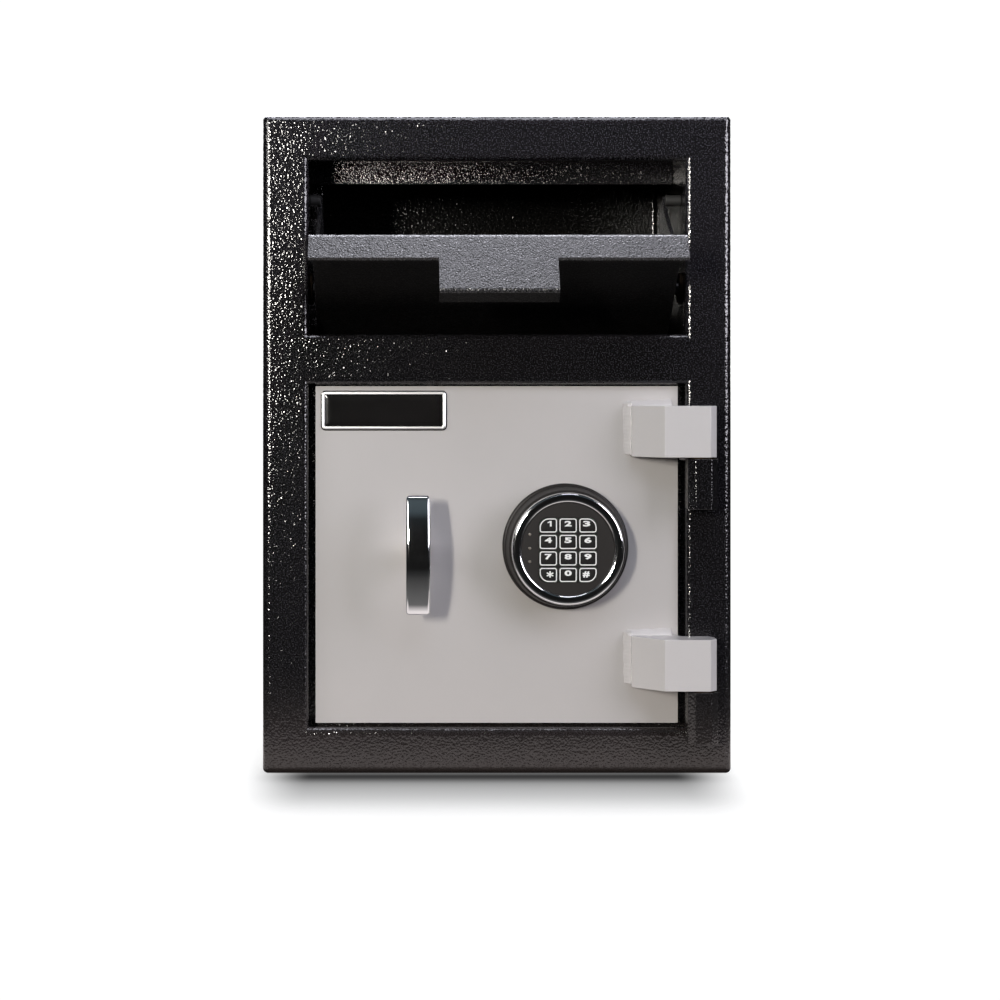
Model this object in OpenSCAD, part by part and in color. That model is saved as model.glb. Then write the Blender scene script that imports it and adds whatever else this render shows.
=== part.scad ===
// Counter-height deposit safe: a welded steel cabinet with a tilting deposit
// hopper above and a hinged, bolted door with an electronic keypad below.
// Millimetres, +Z up, front towards -Y. The origin is the centre of the
// anchor-hole pattern on the underside of the cabinet.

/* [Cabinet] */
// Outside width of the cabinet
body_w = 358; // [358:0.5:362]
// Outside height of the cabinet
body_h = 503; // [503:0.5:508]
// Depth of the cabinet from the front face to the back
body_d = 356; // [354:1:380]
// Thickness of the cabinet sheet
sheet = 3.2; // [2.8:0.1:3.4]
// Radius of the cabinet's corners seen from the front
bend_r = 4; // [3.5:0.5:5]
// Radius of the bends round the front face
front_r = 6.2; // [4:0.1:6.5]
// Radius of the anchor holes in the base
anchor_r = 6.5; // [5:0.5:8]
// Left-to-right distance of the anchor holes
anchor_x = 260; // [200:10:280]
// Front-to-back distance of the anchor holes
anchor_y = 240; // [180:10:260]

/* [Hopper] */
// How far the hopper stands open
hopper_open = 55; // [0:5:55]
// Thickness of the hopper's front sheet
hopper_t = 3.2; // [2.8:0.1:3.3]
// Width of the flange along the hopper's top edge
flange_w = 277; // [270:1:279]
// How far the flange stands out of the hopper's front
flange_d = 20.9; // [16:0.1:24]
// Width of the pull tab
tab_w = 86.4; // [60:0.1:120]
// How far the pull tab stands out of the hopper's front
tab_d = 51.2; // [40:0.1:52]
// Height of the lip bent down from the pull tab
lip_h = 13.6; // [10:0.1:20]
// Outside radius of the fold between tab and lip
fold_r = 2.6; // [2:0.1:5]

/* [Door] */
// Width of the door plate
door_w = 277.6; // [272:0.1:278]
// Height of the door plate
door_h = 258.1; // [250:0.1:258.1]
// Thickness of the door plate
door_t = 12.7; // [10:0.1:12.7]
// Height of each hinge strap
strap_h = 38.8; // [34:0.1:38.8]
// Radius of the hinge pins
hinge_pin_r = 6.35; // [5:0.05:6.5]

/* [Handle] */
// Length of the handle bar
handle_l = 90; // [80:1:100]
// Width of the handle bar
handle_w = 18.4; // [16:0.2:20]
// How far the handle stands out of the door
handle_out = 45; // [40:1:48]

/* [Boltwork] */
// Radius of the door bolts
bolt_r = 9.525; // [8:0.005:9.525]
// Radius of the crank that drives the bolts
crank_r = 17.4; // [15:0.1:17.4]
// Distance of each bolt above or below the handle
bolt_dz = 72; // [66:1:74]

/* [Keypad] */
// Radius of the keypad's base
pad_r = 48.2; // [46:0.1:50]
// Width of a key
key_w = 13.6; // [11.5:0.1:13.7]
// Height of a key
key_h = 11.2; // [10:0.1:11.2]
// Sideways pitch of the keys
key_px = 14.9; // [14.6:0.1:15.2]
// Vertical pitch of the keys
key_pz = 12.4; // [12.2:0.1:12.6]

/* [Hidden] */
$fn = 64;

// cabinet faces
xw = body_w / 2;
yf = -178;
yb = yf + body_d;
// front openings: half width, and the lower and upper wall of each
op_x = 144;
door_op = [33.2, 297.4];
hop_op = [335.5, 468];
lip_r = 2.2;
hop_ret = -164;
door_ret = -156.5;
jamb_t = 4.8;
jamb_back = door_ret + jamb_t;
shelf_z = door_op[1] + sheet;
chamber_back = 12;
// hopper pivot and sideways play
pv_y = -151;
pv_z = 372;
hop_dx = -2;
pan_y = -24;
pan_top = 93.3;
pan_bot = -29;
pan_w = 273;
side_t = 3;
// door
dz0 = 37.9;
dz1 = dz0 + door_h;
dyf = -170;
dyb = dyf + door_t;
// hinges
hp = [153.5, -192];
strap_z = [242.2, 66.8];
knuckle_z = [[203.2, 241.1], [26.6, 65.7]];
// handle and boltwork
hx = -60.3;
hz = 169;
throw = 2 * crank_r * sin(35);
bolt_y = -141;
car_x = hx + crank_r * sin(35);
// keypad
kx = 52.5;
kz = 173.3;
led_dx = -28.7;
key_row0 = 17.8;

// ---------- helpers ----------
// upright rectangle in X and Z, carried from y0 to y1
module slab(x0, x1, y0, y1, z0, z1) {
  translate([x0, y0, z0]) cube([x1 - x0, y1 - y0, z1 - z0]);
}
// turns a drawing in X and Z into a solid from y0 to y1
module to_y(y0, y1) {
  translate([0, y1, 0]) rotate([90, 0, 0]) linear_extrude(y1 - y0) children();
}
// turns a drawing in Y and Z into a solid from x0 to x1
module to_x(x0, x1) {
  translate([x0, 0, 0]) rotate([90, 0, 90]) linear_extrude(x1 - x0) children();
}
module rod_y(x, z, r, y0, y1) {
  translate([x, y1, z]) rotate([90, 0, 0]) cylinder(r = r, h = y1 - y0);
}
module rod_x(y, z, r, x0, x1) {
  translate([x0, y, z]) rotate([0, 90, 0]) cylinder(r = r, h = x1 - x0);
}
// rectangle with rounded corners, by its sides
module rrect(x0, x1, z0, z1, r) {
  translate([x0 + r, z0]) square([x1 - x0 - 2 * r, z1 - z0]);
  translate([x0, z0 + r]) square([x1 - x0, z1 - z0 - 2 * r]);
  for (x = [x0 + r, x1 - r]) for (z = [z0 + r, z1 - r])
    translate([x, z]) circle(r);
}
// rectangle whose front edge (low second value) has rounded corners
module front_round(a0, a1, y0, y1, r) {
  translate([a0 + r, y0]) square([a1 - a0 - 2 * r, y1 - y0]);
  translate([a0, y0 + r]) square([a1 - a0, y1 - y0 - r]);
  for (a = [a0 + r, a1 - r]) translate([a, y0 + r]) circle(r);
}
// opening that flares to the front by a bend of radius r
module flare(a0, a1, y0, y1, r) {
  translate([a0, y0 - 1]) square([a1 - a0, y1 - y0 + 1]);
  difference() {
    translate([a0 - r, y0 - 1]) square([a1 - a0 + 2 * r, r + 1]);
    for (a = [a0 - r, a1 + r]) translate([a, y0 + r]) circle(r);
  }
}
// a mouth through the front, with a bend round its edge
module mouth(x0, x1, z0, z1, y1) {
  intersection() {
    translate([0, 0, z0 - 20]) linear_extrude(z1 - z0 + 40)
      flare(x0, x1, yf, y1, lip_r);
    to_x(x0 - 20, x1 + 20) mirror([1, -1]) flare(z0, z1, yf, y1, lip_r);
  }
}
function arc(c, r, a0, a1, n) = [for (i = [0:n])
  c + r * [cos(a0 + (a1 - a0) * i / n), sin(a0 + (a1 - a0) * i / n)]];

// ---------- cabinet ----------
module body_shell() {
  color([0.10, 0.10, 0.11]) difference() {
    to_y(yf + 10, yb) difference() {
      rrect(-xw, xw, 0, body_h, bend_r);
      rrect(-xw + sheet, xw - sheet, sheet, body_h - sheet, 1);
    }
    for (x = [-1, 1]) for (y = [-1, 1])
      translate([x * anchor_x / 2, y * anchor_y / 2, -1])
        cylinder(r = anchor_r, h = sheet + 2);
  }
}

module front_frame() {
  color([0.10, 0.10, 0.11]) difference() {
    union() {
      difference() {
        intersection() {
          to_y(yf, yf + 10) rrect(-xw, xw, 0, body_h, bend_r);
          linear_extrude(body_h) front_round(-xw, xw, yf, yf + 20, front_r);
          to_x(-xw, xw) mirror([1, -1])
            front_round(0, body_h, yf, yf + 20, front_r);
        }
        slab(-xw + sheet, xw - sheet, yf + sheet, yf + 11,
          sheet, body_h - sheet);
      }
      slab(-op_x - sheet, op_x + sheet, yf + 1, door_ret,
        door_op[0] - sheet, door_op[1] + sheet);
      slab(-op_x - sheet, op_x + sheet, yf + 1, hop_ret,
        hop_op[0] - sheet, hop_op[1] + sheet);
    }
    mouth(-op_x, op_x, door_op[0], door_op[1], 0);
    mouth(-op_x, op_x, hop_op[0], hop_op[1], 0);
  }
}

module back_panel() {
  color([0.10, 0.10, 0.11]) to_y(yb - sheet, yb)
    rrect(-xw + sheet, xw - sheet, sheet, body_h - sheet, 1);
}

module door_jamb() {
  color([0.10, 0.10, 0.11]) difference() {
    slab(-op_x - sheet, op_x + sheet, door_ret, jamb_back,
      door_op[0] - sheet, door_op[1] + sheet);
    slab(-130, 131, door_ret - 1, jamb_back + 1, 46, 288);
  }
}

module chamber_wall(side) {
  x0 = side < 0 ? -op_x - sheet : op_x;
  difference() {
    slab(x0, x0 + sheet, hop_ret, chamber_back,
      shelf_z + sheet, body_h - sheet);
    rod_x(pv_y, pv_z, 9, x0 - 1, x0 + sheet + 1);
  }
}
module chamber_left_wall() { color([0.12, 0.12, 0.13]) chamber_wall(-1); }
module chamber_right_wall() { color([0.12, 0.12, 0.13]) chamber_wall(1); }

module chamber_back_plate() {
  color([0.12, 0.12, 0.13]) slab(-op_x, op_x, chamber_back - sheet,
    chamber_back, shelf_z + sheet, body_h - sheet);
}

module chamber_crossbar() {
  color([0.12, 0.12, 0.13]) {
    slab(-op_x, op_x, -101, -101 + sheet, 458, body_h - sheet);
    slab(-op_x, op_x, -101, -78, body_h - 2 * sheet, body_h - sheet);
  }
}

module divider_shelf() {
  color([0.12, 0.12, 0.13]) slab(-xw + sheet, xw - sheet, yf + sheet, -104,
    shelf_z, shelf_z + sheet);
}

module pivot_bushings() {
  color([0.72, 0.55, 0.25]) for (s = [-1, 1]) {
    a = s * (op_x - 2.5);
    b = s * op_x;
    c = s * (op_x + 8);
    difference() {
      union() {
        rod_x(pv_y, pv_z, 12, min(a, b), max(a, b));
        rod_x(pv_y, pv_z, 9, min(a, c), max(a, c));
      }
      rod_x(pv_y, pv_z, 5.08, min(a, c) - 1, max(a, c) + 1);
    }
  }
}

module hopper_bumpers() {
  color([0.05, 0.05, 0.05]) {
    for (p = [[3.0, 68.5], [71.6, 24.7]]) {
      rod_x(pv_y + p[0], pv_z + p[1], 4, op_x - 12, op_x);
      rod_x(pv_y + p[0], pv_z + p[1], 4, -op_x, -op_x + 8);
    }
  }
}

module frame_knuckles() {
  color([0.10, 0.10, 0.11]) for (k = knuckle_z) difference() {
    translate([0, 0, k[0]]) linear_extrude(k[1] - k[0])
      polygon([[146.6, yf], [142.4, -184], [142.4, -198.6], [147.8, -204],
        [159.9, -204], [165.3, -198.6], [165.3, yf]]);
    translate([hp[0], hp[1], k[0] + 2])
      cylinder(r = hinge_pin_r, h = k[1] - k[0]);
  }
}

module hinge_pins() {
  color([0.62, 0.62, 0.64]) for (k = knuckle_z)
    translate([hp[0], hp[1], k[0] + 2]) cylinder(r = hinge_pin_r, h = 66);
}

module hinge_washers() {
  color([0.74, 0.60, 0.30]) for (k = knuckle_z)
    translate([hp[0], hp[1], k[1]]) difference() {
      cylinder(r = 11, h = 1);
      translate([0, 0, -1]) cylinder(r = hinge_pin_r, h = 3);
    }
}

// ---------- hopper, drawn closed about its pivot, then swung open ----------
module swung() {
  translate([hop_dx, pv_y, pv_z]) rotate([hopper_open, 0, 0]) children();
}
// front sheet with its top flange, seen from the side
panel_line = concat(
  [[pan_y, pan_bot], [pan_y + hopper_t, pan_bot]],
  arc([pan_y + hopper_t - 5, pan_top - 5], 5, 0, 90, 6),
  [[pan_y - flange_d, pan_top], [pan_y - flange_d, pan_top - hopper_t]],
  arc([pan_y - 1.8, pan_top - 5], 1.8, 90, 0, 4));
tab_line = concat(
  [[pan_y - flange_d, pan_top]],
  arc([pan_y - tab_d + fold_r, pan_top - fold_r], fold_r, 90, 180, 6),
  [[pan_y - tab_d, pan_top - lip_h],
   [pan_y - tab_d + hopper_t, pan_top - lip_h]],
  arc([pan_y - tab_d + hopper_t + 0.6, pan_top - hopper_t - 0.6], 0.6,
    180, 90, 3),
  [[pan_y - flange_d, pan_top - hopper_t]]);

module hopper_panel() {
  color([0.42, 0.43, 0.48]) swung() {
    to_x(-pan_w / 2, pan_w / 2) polygon(panel_line);
    to_x(-flange_w / 2, flange_w / 2) difference() {
      polygon(panel_line);
      translate([pan_y - 1.8, pan_bot - 1]) square([20, pan_top - 4 - pan_bot]);
    }
    to_x(-tab_w / 2, tab_w / 2) polygon(tab_line);
  }
}

side_line = [[pan_y + hopper_t, 78], [12.6, 51], [47.8, 33], [67, 31.4],
  [67, 18], [46, -55.3], [pan_y + hopper_t, -31.2 + 2.2]];
module hopper_side(x0) {
  swung() difference() {
    to_x(x0, x0 + side_t) polygon(side_line);
    rod_x(0, 0, 5, x0 - 1, x0 + side_t + 1);
  }
}
module hopper_side_left() { color([0.2, 0.2, 0.22]) hopper_side(-136); }
module hopper_side_right() { color([0.2, 0.2, 0.22]) hopper_side(133); }

module hopper_floor() {
  color([0.2, 0.2, 0.22]) swung() to_x(-133, 133)
    polygon([[pan_y + hopper_t, -29], [46, -54.6], [46, -51.8],
      [pan_y + hopper_t, -26.2]]);
}

module hopper_pivot_pins() {
  color([0.62, 0.62, 0.64]) {
    translate([0, pv_y, pv_z]) for (s = [-1, 1]) {
      i = hop_dx + s * 133;
      o = s * (op_x + 8);
      rod_x(0, 0, 5, min(i, o), max(i, o));
      rod_x(0, 0, 8, min(i, i - s * 2), max(i, i - s * 2));
    }
  }
}

// ---------- door ----------
module door_plate() {
  color([0.70, 0.69, 0.68]) difference() {
    slab(-door_w / 2, door_w / 2, dyf, dyb, dz0, dz1);
    rod_y(hx, hz, 9, dyf - 1, dyb + 1);
    rod_y(kx, kz, 5, dyf - 1, dyb + 1);
    for (s = [-1, 1]) rod_y(kx + s * 28, kz + 14, 2, dyf - 1, dyf + 9);
    for (x = [28, 77]) for (z = [138, 210])
      rod_y(x, z, 2.5, dyb - 8, dyb + 1);
    for (x = [-90, 82]) for (z = [55, 279])
      rod_y(x, z, 2, dyb - 7, dyb + 1);
  }
}

module hinge_straps() {
  color([0.73, 0.72, 0.71]) for (z = strap_z) difference() {
    translate([0, 0, z]) linear_extrude(strap_h)
      polygon([[102.4, dyf], [102.4, -181.5], [124.6, -204], [159.1, -204],
        [164.3, -198.8], [164.3, -186], [159.8, -180.6], [141, -180.6],
        [138.6, -178.2], [138.6, dyf]]);
    translate([hp[0], hp[1], z - 1])
      cylinder(r = hinge_pin_r + 0.08, h = strap_h - 5);
  }
}

module strap_welds() {
  color([0.68, 0.67, 0.66]) for (z = strap_z) {
    to_x(97, 133) polygon([[dyf, z + strap_h], [dyf - 5, z + strap_h],
      [dyf, z + strap_h + 5]]);
    translate([0, 0, z + 1]) linear_extrude(strap_h - 1)
      polygon([[102.4, dyf], [102.4, dyf - 5], [97, dyf]]);
  }
}

module nameplate_blank() {
  color([0.06, 0.06, 0.06]) to_y(dyf - 1.2, dyf)
    rrect(-134.7, -38, 262, 292.6, 3);
}

// ---------- keypad, drawn about the Y axis: radius and height off the door ----
module spun(prof) {
  translate([kx, dyf, kz]) rotate([90, 0, 0]) rotate_extrude() polygon(prof);
}
module keypad_base() {
  color([0.08, 0.08, 0.09]) difference() {
    spun([[5, 0], [pad_r, 0], [pad_r, 4.5], [pad_r - 1.2, 6], [pad_r - 2, 6.4],
      [pad_r - 4.2, 22], [pad_r - 5.7, 25], [39, 25], [39, 20.6], [41, 20.6],
      [41, 2], [5, 2]]);
    for (s = [-1, 1]) rod_y(kx + s * 28, kz + 14, 2, dyf - 3, dyf + 1);
  }
}
module keypad_ring() {
  color([0.8, 0.8, 0.82]) spun(concat(
    [[34.9, 25], [42.5, 25]],
    arc([38.7, 26.4], 3.8, 0, 180, 12) ));
}
function key_x(i) = (i - 1) * key_px;
function key_z(j) = key_row0 - j * key_pz;
// outline of a key; the corner named by cx and cz has the large radius
module key_shape(cx, cz, grow) {
  w = key_w / 2 + grow;
  h = key_h / 2 + grow;
  s = 1.6 + grow;
  b = 6.2 + grow;
  difference() {
    rrect(-w, w, -h, h, s);
    if (cx != 0) difference() {
      translate([cx < 0 ? -w - 1 : w - b, cz < 0 ? -h - 1 : h - b])
        square([b + 1, b + 1]);
      translate([cx * (w - b), cz * (h - b)]) circle(b);
    }
  }
}
function corner(i, j) = i == 1 ? [0, 0] : j == 0 ? [i - 1, 1] :
  j == 3 ? [i - 1, -1] : [0, 0];
module keypad_face() {
  color([0.07, 0.07, 0.07]) difference() {
    rod_y(kx, kz, 34.9, dyf - 28, dyf - 25);
    to_y(dyf - 29, dyf - 24) for (i = [0:2]) for (j = [0:3])
      translate([kx + key_x(i), kz + key_z(j)])
        key_shape(corner(i, j)[0], corner(i, j)[1], 0.3);
    for (z = [11, 0.5, -9.5])
      rod_y(kx + led_dx, kz + z, 1.1, dyf - 29, dyf - 24);
    rod_y(kx, kz, 30, dyf - 26.2, dyf - 24);
  }
}
module status_leds() {
  color([0.55, 0.55, 0.5]) for (z = [11, 0.5, -9.5])
    rod_y(kx + led_dx, kz + z, 1.1, dyf - 28.3, dyf - 25);
}
module key(i, j) {
  color([0.08, 0.08, 0.08]) {
    to_y(dyf - 29, dyf - 26) translate([kx + key_x(i), kz + key_z(j)])
      key_shape(corner(i, j)[0], corner(i, j)[1], 0);
    rod_y(kx + key_x(i), kz + key_z(j), 3, dyf - 26, dyf - 22);
  }
}
module keypad_board() {
  color([0.10, 0.32, 0.16]) difference() {
    rod_y(kx, kz, 40.8, dyf - 20.6, dyf - 19);
    rod_y(kx, kz, 2, dyf - 21, dyf - 18);
  }
}
module keypad_battery() {
  color([0.2, 0.2, 0.22]) slab(kx - 24, kx + 24, dyf - 18.8, dyf - 2.3,
    kz - 31.4, kz - 5.4);
}
module keypad_screws() {
  color([0.6, 0.6, 0.62]) for (s = [-1, 1]) {
    rod_y(kx + s * 28, kz + 14, 3.6, dyf - 4.4, dyf - 2);
    rod_y(kx + s * 28, kz + 14, 2, dyf - 2, dyf + 9);
  }
}
module lock_cable() {
  color([0.12, 0.12, 0.12]) rod_y(kx, kz, 2, dyf - 20.6, dyb + 6);
}

// ---------- lock behind the door ----------
module lock_case() {
  color([0.55, 0.55, 0.57]) difference() {
    slab(22.5, 82.5, dyb, dyb + 24, 132, 216);
    slab(34, 71, dyb + 3, dyb + 25, 150, 201);
    slab(43.7, 61.3, dyb + 5, dyb + 15.6, 131, 165);
    rod_y(kx, kz, 5, dyb - 1, dyb + 4);
    for (x = [28, 77]) for (z = [138, 210])
      rod_y(x, z, 2.5, dyb - 1, dyb + 25);
  }
}
module lock_cover() {
  color([0.66, 0.66, 0.68]) difference() {
    slab(22.5, 82.5, dyb + 24, dyb + 26, 132, 216);
    for (x = [28, 77]) for (z = [138, 210])
      rod_y(x, z, 2.5, dyb + 23, dyb + 27);
  }
}
module lock_motor() {
  color([0.72, 0.72, 0.7]) {
    translate([62, dyb + 13, 182]) cylinder(r = 6, h = 19);
    translate([62, dyb + 13, 174]) cylinder(r = 1.5, h = 8);
  }
}
module lock_screws() {
  color([0.6, 0.6, 0.62]) for (x = [28, 77]) for (z = [138, 210]) {
    rod_y(x, z, 2.5, dyb - 8, dyb + 26);
    rod_y(x, z, 4.2, dyb + 26, dyb + 29);
  }
}
module lock_bolt() {
  color([0.75, 0.68, 0.45])
    slab(44, 61, dyb + 5.3, dyb + 15.3, 127, 148);
}

// ---------- handle and boltwork ----------
module handle_bushing() {
  color([0.74, 0.60, 0.30]) difference() {
    union() {
      rod_y(hx, hz, 9, dyf - 1, dyb);
    }
    rod_y(hx, hz, 6.06, dyf - 2, dyb + 1);
  }
}
// bar seen from the side: second value along the bar, first off the door
bow_r = 96;
module handle_bar() {
  c = -dyf - handle_out;
  color([0.82, 0.82, 0.84]) {
    to_x(hx - handle_w / 2, hx + handle_w / 2) translate([0, hz]) {
      intersection() {
        difference() {
          translate([dyf - handle_out + bow_r, 0]) circle(bow_r);
          translate([dyf - handle_out + bow_r, 0]) circle(bow_r - 7);
        }
        translate([dyf - handle_out - 1, -handle_l / 2])
          square([25, handle_l]);
      }
    }
    rod_y(hx, hz, 8.2, dyf - handle_out + 5, dyf - 1.3);
  }
}
module handle_spindle() {
  color([0.62, 0.62, 0.64]) rod_y(hx, hz, 6, dyf - 1.3, dyb + 8.3);
}
module drive_arm() {
  px = car_x;
  pz = hz + crank_r * cos(35);
  color([0.5, 0.5, 0.52]) difference() {
    union() {
      rod_y(hx, hz, 11, dyb + 2.3, dyb + 8.3);
      rod_y(px, pz, 6, dyb + 2.3, dyb + 8.3);
      translate([hx, 0, hz]) rotate([0, 35, 0])
        slab(-6, 6, dyb + 2.3, dyb + 8.3, 0, crank_r);
      rod_y(px, pz, 3, dyb + 8, dyb + 22);
    }
    rod_y(hx, hz, 6, dyb + 2, dyb + 9);
  }
}
module carriage_bar() {
  color([0.5, 0.5, 0.52]) difference() {
    to_y(bolt_y - 5, bolt_y + 5) {
      translate([car_x - 6, hz - bolt_dz - 12])
        square([12, 2 * bolt_dz + 24]);
      polygon([[car_x, 104], [62, 104], [62, 115.5], [45.5, 125.4],
        [car_x, 125.4]]);
    }
    to_y(bolt_y - 6, bolt_y + 6) {
      translate([car_x - 3.36, hz + 12]) square([6.72, 8]);
      for (z = [12, 20]) translate([car_x, hz + z]) circle(3.36);
    }
    for (s = [-1, 1])
      rod_x(bolt_y, hz + s * bolt_dz, 3, car_x - 7, car_x + 7);
  }
}
module door_bolts() {
  color([0.78, 0.78, 0.8]) for (s = [-1, 1]) difference() {
    union() {
      rod_x(bolt_y, hz + s * bolt_dz, bolt_r, -120.5, car_x - 6);
      translate([-122, bolt_y, hz + s * bolt_dz]) rotate([0, 90, 0])
        cylinder(r1 = bolt_r - 1.5, r2 = bolt_r, h = 1.5);
    }
    rod_x(bolt_y, hz + s * bolt_dz, 3, car_x - 22, car_x - 5);
  }
}
module bolt_screws() {
  color([0.3, 0.3, 0.32]) for (s = [-1, 1]) {
    rod_x(bolt_y, hz + s * bolt_dz, 3, car_x - 22, car_x + 6);
    rod_x(bolt_y, hz + s * bolt_dz, 5, car_x + 6, car_x + 10);
  }
}
module bolt_guides() {
  color([0.5, 0.5, 0.52]) for (s = [-1, 1]) difference() {
    slab(-108, -90, dyb, -127.5, hz + s * bolt_dz - 15, hz + s * bolt_dz + 15);
    rod_x(bolt_y, hz + s * bolt_dz, bolt_r + 0.08, -109, -89);
  }
}
module dead_bar() {
  color([0.5, 0.5, 0.52]) to_z(60, 274) polygon([[112, dyb], [126, dyb],
    [126, -147.7], [136, -147.7], [136, -141.7], [112, -141.7]]);
}
module to_z(z0, z1) {
  translate([0, 0, z0]) linear_extrude(z1 - z0) children();
}
module boltwork_cover() {
  t = 1.5;
  color([0.32, 0.32, 0.34]) difference() {
    union() {
      difference() {
        slab(-116, 108, dyb, -115, 60, 274);
        slab(-116 + t, 108 - t, dyb - 1, -115 - t, 60 + t, 274 - t);
      }
      slab(-116, 108, dyb, dyb + t, 50, 60.5);
      slab(-116, 108, dyb, dyb + t, 273.5, 284);
    }
    for (s = [-1, 1])
      rod_x(bolt_y, hz + s * bolt_dz, bolt_r + 0.5, -117, -113);
    for (x = [-90, 82]) for (z = [55, 279])
      rod_y(x, z, 2, dyb - 1, dyb + 3);
  }
}
module cover_screws() {
  color([0.6, 0.6, 0.62]) for (x = [-90, 82]) for (z = [55, 279]) {
    rod_y(x, z, 2, dyb - 7, dyb + 1.5);
    rod_y(x, z, 3.8, dyb + 1.5, dyb + 4);
  }
}

body_shell();
front_frame();
back_panel();
door_jamb();
chamber_left_wall();
chamber_right_wall();
chamber_back_plate();
chamber_crossbar();
divider_shelf();
pivot_bushings();
hopper_bumpers();
frame_knuckles();
hinge_pins();
hinge_washers();
hopper_panel();
hopper_side_left();
hopper_side_right();
hopper_floor();
hopper_pivot_pins();
door_plate();
hinge_straps();
strap_welds();
nameplate_blank();
keypad_base();
keypad_ring();
keypad_face();
status_leds();
keypad_board();
keypad_battery();
keypad_screws();
lock_cable();
lock_case();
lock_cover();
lock_motor();
lock_screws();
handle_bushing();
bolt_guides();
dead_bar();
boltwork_cover();
cover_screws();
handle_bar();
handle_spindle();
drive_arm();
carriage_bar();
door_bolts();
bolt_screws();
lock_bolt();
key(0, 0);  // key_1
key(1, 0);  // key_2
key(2, 0);  // key_3
key(0, 1);  // key_4
key(1, 1);  // key_5
key(2, 1);  // key_6
key(0, 2);  // key_7
key(1, 2);  // key_8
key(2, 2);  // key_9
key(0, 3);  // key_star
key(1, 3);  // key_0
key(2, 3);  // key_hash
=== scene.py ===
import math
import random

import bmesh
import bpy
from mathutils import Matrix, Vector


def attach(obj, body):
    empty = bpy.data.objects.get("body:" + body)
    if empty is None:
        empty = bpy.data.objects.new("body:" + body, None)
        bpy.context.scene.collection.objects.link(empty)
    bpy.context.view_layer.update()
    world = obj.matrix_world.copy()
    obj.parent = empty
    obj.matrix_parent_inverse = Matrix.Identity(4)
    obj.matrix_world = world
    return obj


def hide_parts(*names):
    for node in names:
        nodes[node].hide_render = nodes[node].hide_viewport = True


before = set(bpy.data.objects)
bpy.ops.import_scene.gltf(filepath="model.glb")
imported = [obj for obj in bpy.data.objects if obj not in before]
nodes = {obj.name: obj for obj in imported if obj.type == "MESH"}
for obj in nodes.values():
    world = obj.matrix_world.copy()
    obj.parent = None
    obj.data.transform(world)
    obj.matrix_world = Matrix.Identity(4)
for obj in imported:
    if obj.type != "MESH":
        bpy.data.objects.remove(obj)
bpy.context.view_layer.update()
scene = bpy.context.scene
MM = 0.001

# ---------------------------------------------------------------- camera
cam_data = bpy.data.cameras.new("camera")
cam_data.lens = 70.82
cam_data.sensor_width = 36.0
cam_data.shift_x = 0.088
cam_data.shift_y = -0.105
cam_data.clip_start = 0.05
cam_data.clip_end = 100.0
cam = bpy.data.objects.new("camera", cam_data)
cam.location = (-0.0649, -1.678, 0.2892)
cam.rotation_euler = (math.radians(90), 0, 0)
scene.collection.objects.link(cam)
scene.camera = cam
scene.view_settings.view_transform = "Standard"
scene.view_settings.look = "None"


# ---------------------------------------------------------------- node helpers
def N(nt, kind, ins=None, **props):
    n = nt.nodes.new("ShaderNode" + kind)
    for k, v in props.items():
        setattr(n, k, v)
    for k, v in (ins or {}).items():
        put(nt, v, n.inputs[k])
    return n


def put(nt, value, socket):
    if isinstance(value, bpy.types.NodeSocket):
        nt.links.new(value, socket)
    else:
        socket.default_value = value


def calc(nt, op, a, b=0.0, c=0.0, clamp=False):
    n = nt.nodes.new("ShaderNodeMath")
    n.operation = op
    n.use_clamp = clamp
    for v, s in zip((a, b, c), n.inputs):
        put(nt, v, s)
    return n.outputs[0]


def mixed(nt, fac, a, b):
    n = nt.nodes.new("ShaderNodeMix")
    n.data_type = "RGBA"
    put(nt, fac, n.inputs[0])
    put(nt, (*a, 1.0) if isinstance(a, tuple) else a, n.inputs[6])
    put(nt, (*b, 1.0) if isinstance(b, tuple) else b, n.inputs[7])
    return n.outputs[2]


def spread(nt, value, a0, a1, b0, b1):
    n = N(nt, "MapRange", {0: value, 1: a0, 2: a1, 3: b0, 4: b1})
    return n.outputs[0]


def noise(nt, co, scale, detail=2.0, rough=0.5, dist=0.0):
    return N(nt, "TexNoise", {"Vector": co, "Scale": scale, "Detail": detail,
                              "Roughness": rough, "Distortion": dist}).outputs[0]


def blank(name, metallic=0.0, rough=0.5, spec=0.5, color=(0.5, 0.5, 0.5)):
    m = bpy.data.materials.new(name)
    m.use_nodes = True
    nt = m.node_tree
    nt.nodes.clear()
    b = nt.nodes.new("ShaderNodeBsdfPrincipled")
    out = nt.nodes.new("ShaderNodeOutputMaterial")
    nt.links.new(b.outputs[0], out.inputs[0])
    b.inputs["Metallic"].default_value = metallic
    b.inputs["Roughness"].default_value = rough
    b.inputs["Specular IOR Level"].default_value = spec
    b.inputs["Base Color"].default_value = (*color, 1.0)
    co = nt.nodes.new("ShaderNodeTexCoord").outputs["Object"]
    return m, nt, b, co


def bumped(nt, b, height, distance, strength=1.0, socket="Normal", normal=None):
    n = N(nt, "Bump", {"Strength": strength, "Distance": distance, "Height": height})
    if normal is not None:
        nt.links.new(normal, n.inputs["Normal"])
    if b is not None:
        nt.links.new(n.outputs[0], b.inputs[socket])
    return n.outputs[0]


def stretched(nt, co, scale):
    return N(nt, "Mapping", {"Vector": co, "Scale": scale}).outputs[0]


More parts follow.
